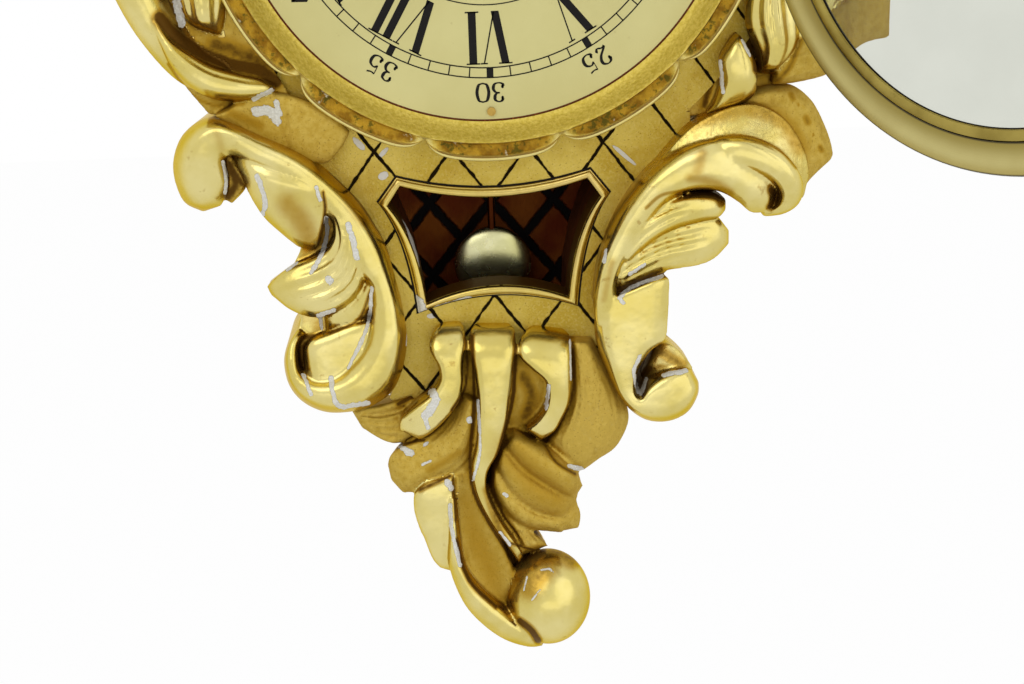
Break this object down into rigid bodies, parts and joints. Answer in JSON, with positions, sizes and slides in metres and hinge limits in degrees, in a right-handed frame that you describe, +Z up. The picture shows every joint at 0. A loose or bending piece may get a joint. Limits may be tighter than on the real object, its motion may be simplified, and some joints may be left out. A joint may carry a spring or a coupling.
{
  "type": "wall clock",
  "caption": "Carved giltwood wall clock with a round dial behind a hinged brass and glass door, a pendulum seen through a small window, and a wheel train that turns the hands.",
  "frame": {"origin": "on the wall plane, behind the centre of the dial", "axes": "+Z up, +Y into the wall, so the front faces -Y and +X is to the right as seen from the front"},
  "size_m": [0.4043, 0.2515, 0.6129],
  "materials": {
    "bright_gilt": "carved wood, burnished gold leaf, worn on the edges",
    "matt_gilt": "carved wood, matt gold leaf with a brown glaze",
    "dark_wood": "dark stained wood",
    "cream_dial": "pale gold painted dial",
    "brass": "satin brass",
    "steel": "plain steel",
    "black_steel": "blackened steel",
    "glass": "clear window glass"
  },
  "bodies": {
    "case": {"back_board": "dark_wood", "case_walls": "dark_wood", "front_panel": "matt_gilt", "dial_surround": "matt_gilt", "window_rim": "bright_gilt", "left_scroll": "bright_gilt", "right_scroll": "bright_gilt", "left_wing": "bright_gilt", "right_wing": "bright_gilt", "crest": "bright_gilt", "drop": "bright_gilt", "hanger_plate": "steel", "hanger_screw_left": "steel", "hanger_screw_right": "steel", "dial_plate": "cream_dial", "dial_pin_top": "brass", "dial_pin_right": "brass", "dial_pin_bottom": "brass", "dial_pin_left": "brass", "dial_foot_top_left": "brass", "dial_foot_top_right": "brass", "dial_foot_bottom_left": "brass", "dial_foot_bottom_right": "brass", "front_plate": "brass", "back_plate": "brass", "pillar_top_left": "brass", "pillar_top_right": "brass", "pillar_bottom_left": "brass", "pillar_bottom_right": "brass", "suspension_cock": "brass", "minute_wheel_stud": "steel", "hinge_leaf_case": "brass", "hinge_pin": "steel"},
    "door": {"door_bezel": "brass", "door_glass": "glass", "glass_retainer": "brass", "hinge_leaf_door": "brass", "door_knob": "brass"},
    "center_arbor": {"center_wheel": "brass", "cannon_pinion": "brass", "minute_hand": "black_steel", "hand_nut": "brass"},
    "hour_pipe": {"hour_wheel": "brass", "hour_hand": "black_steel"},
    "minute_wheel_arbor": {"minute_wheel": "brass"},
    "intermediate_arbor": {"intermediate_wheel": "brass"},
    "barrel": {"barrel_drum": "brass", "barrel_cap": "brass", "mainspring": "steel"},
    "third_arbor": {"third_wheel": "brass"},
    "escape_arbor": {"escape_wheel": "brass"},
    "anchor": {"anchor_and_crutch": "steel"},
    "pendulum": {"suspension_spring": "steel", "pendulum_rod": "brass", "pendulum_bob": "brass"},
    "rating_nut": {"rating_nut": "brass"},
    "winding": {"winding_arbor": "steel", "ratchet_wheel": "steel"},
    "click": {"click": "steel"}
  },
  "joints": [
    {"name": "door_hinge", "type": "hinge", "parent": "case", "child": "door", "pos_m": [0.106, -0.0811, 0], "axis": [0, 0, 1], "range_deg": [-127, 20]},
    {"name": "minute_hand_turn", "type": "hinge", "parent": "case", "child": "center_arbor", "pos_m": [0, -0.0445, 0], "axis": [0, 1, 0], "continuous": true},
    {"name": "hour_hand_turn", "type": "hinge", "parent": "case", "child": "hour_pipe", "pos_m": [0, -0.059, 0], "axis": [0, 1, 0], "continuous": true},
    {"name": "minute_wheel_turn", "type": "hinge", "parent": "case", "child": "minute_wheel_arbor", "pos_m": [0.0144, -0.0566, 0], "axis": [0, 1, 0], "continuous": true},
    {"name": "intermediate_wheel_turn", "type": "hinge", "parent": "case", "child": "intermediate_arbor", "pos_m": [-0.01295, -0.0376, -0.01349], "axis": [0, 1, 0], "continuous": true},
    {"name": "barrel_turn", "type": "hinge", "parent": "case", "child": "barrel", "pos_m": [0, -0.0445, -0.0365], "axis": [0, 1, 0], "continuous": true},
    {"name": "third_wheel_turn", "type": "hinge", "parent": "case", "child": "third_arbor", "pos_m": [0.00652, -0.0496, 0.01516], "axis": [0, 1, 0], "continuous": true},
    {"name": "escape_wheel_turn", "type": "hinge", "parent": "case", "child": "escape_arbor", "pos_m": [0, -0.0386, 0.0285], "axis": [0, 1, 0], "continuous": true},
    {"name": "pendulum_swing", "type": "hinge", "parent": "case", "child": "pendulum", "pos_m": [0, -0.022, 0.043], "axis": [0, 1, 0], "range_deg": [-4, 4]},
    {"name": "anchor_rock", "type": "hinge", "parent": "case", "child": "anchor", "pos_m": [0, -0.0386, 0.043], "axis": [0, 1, 0], "range_deg": [-4, 4]},
    {"name": "rating_nut_turn", "type": "hinge", "parent": "pendulum", "child": "rating_nut", "pos_m": [0, -0.022, -0.1898], "axis": [0, 0, 1], "continuous": true},
    {"name": "winding_turn", "type": "hinge", "parent": "case", "child": "winding", "pos_m": [0, -0.0555, -0.0365], "axis": [0, 1, 0], "continuous": true},
    {"name": "click_lift", "type": "hinge", "parent": "case", "child": "click", "pos_m": [0.012, -0.0555, -0.0265], "axis": [0, 1, 0], "range_deg": [0, 15], "stiffness_Nm_per_rad": 0.001}
  ],
  "couplings": [
    {"joint": "hour_hand_turn", "follows": "minute_hand_turn", "ratio": 0.083333},
    {"joint": "minute_wheel_turn", "follows": "minute_hand_turn", "ratio": -0.33333},
    {"joint": "intermediate_wheel_turn", "follows": "minute_hand_turn", "ratio": -0.125},
    {"joint": "barrel_turn", "follows": "minute_hand_turn", "ratio": 0.0125},
    {"joint": "third_wheel_turn", "follows": "minute_hand_turn", "ratio": -10},
    {"joint": "escape_wheel_turn", "follows": "minute_hand_turn", "ratio": 100},
    {"joint": "anchor_rock", "follows": "pendulum_swing", "ratio": 1}
  ]
}
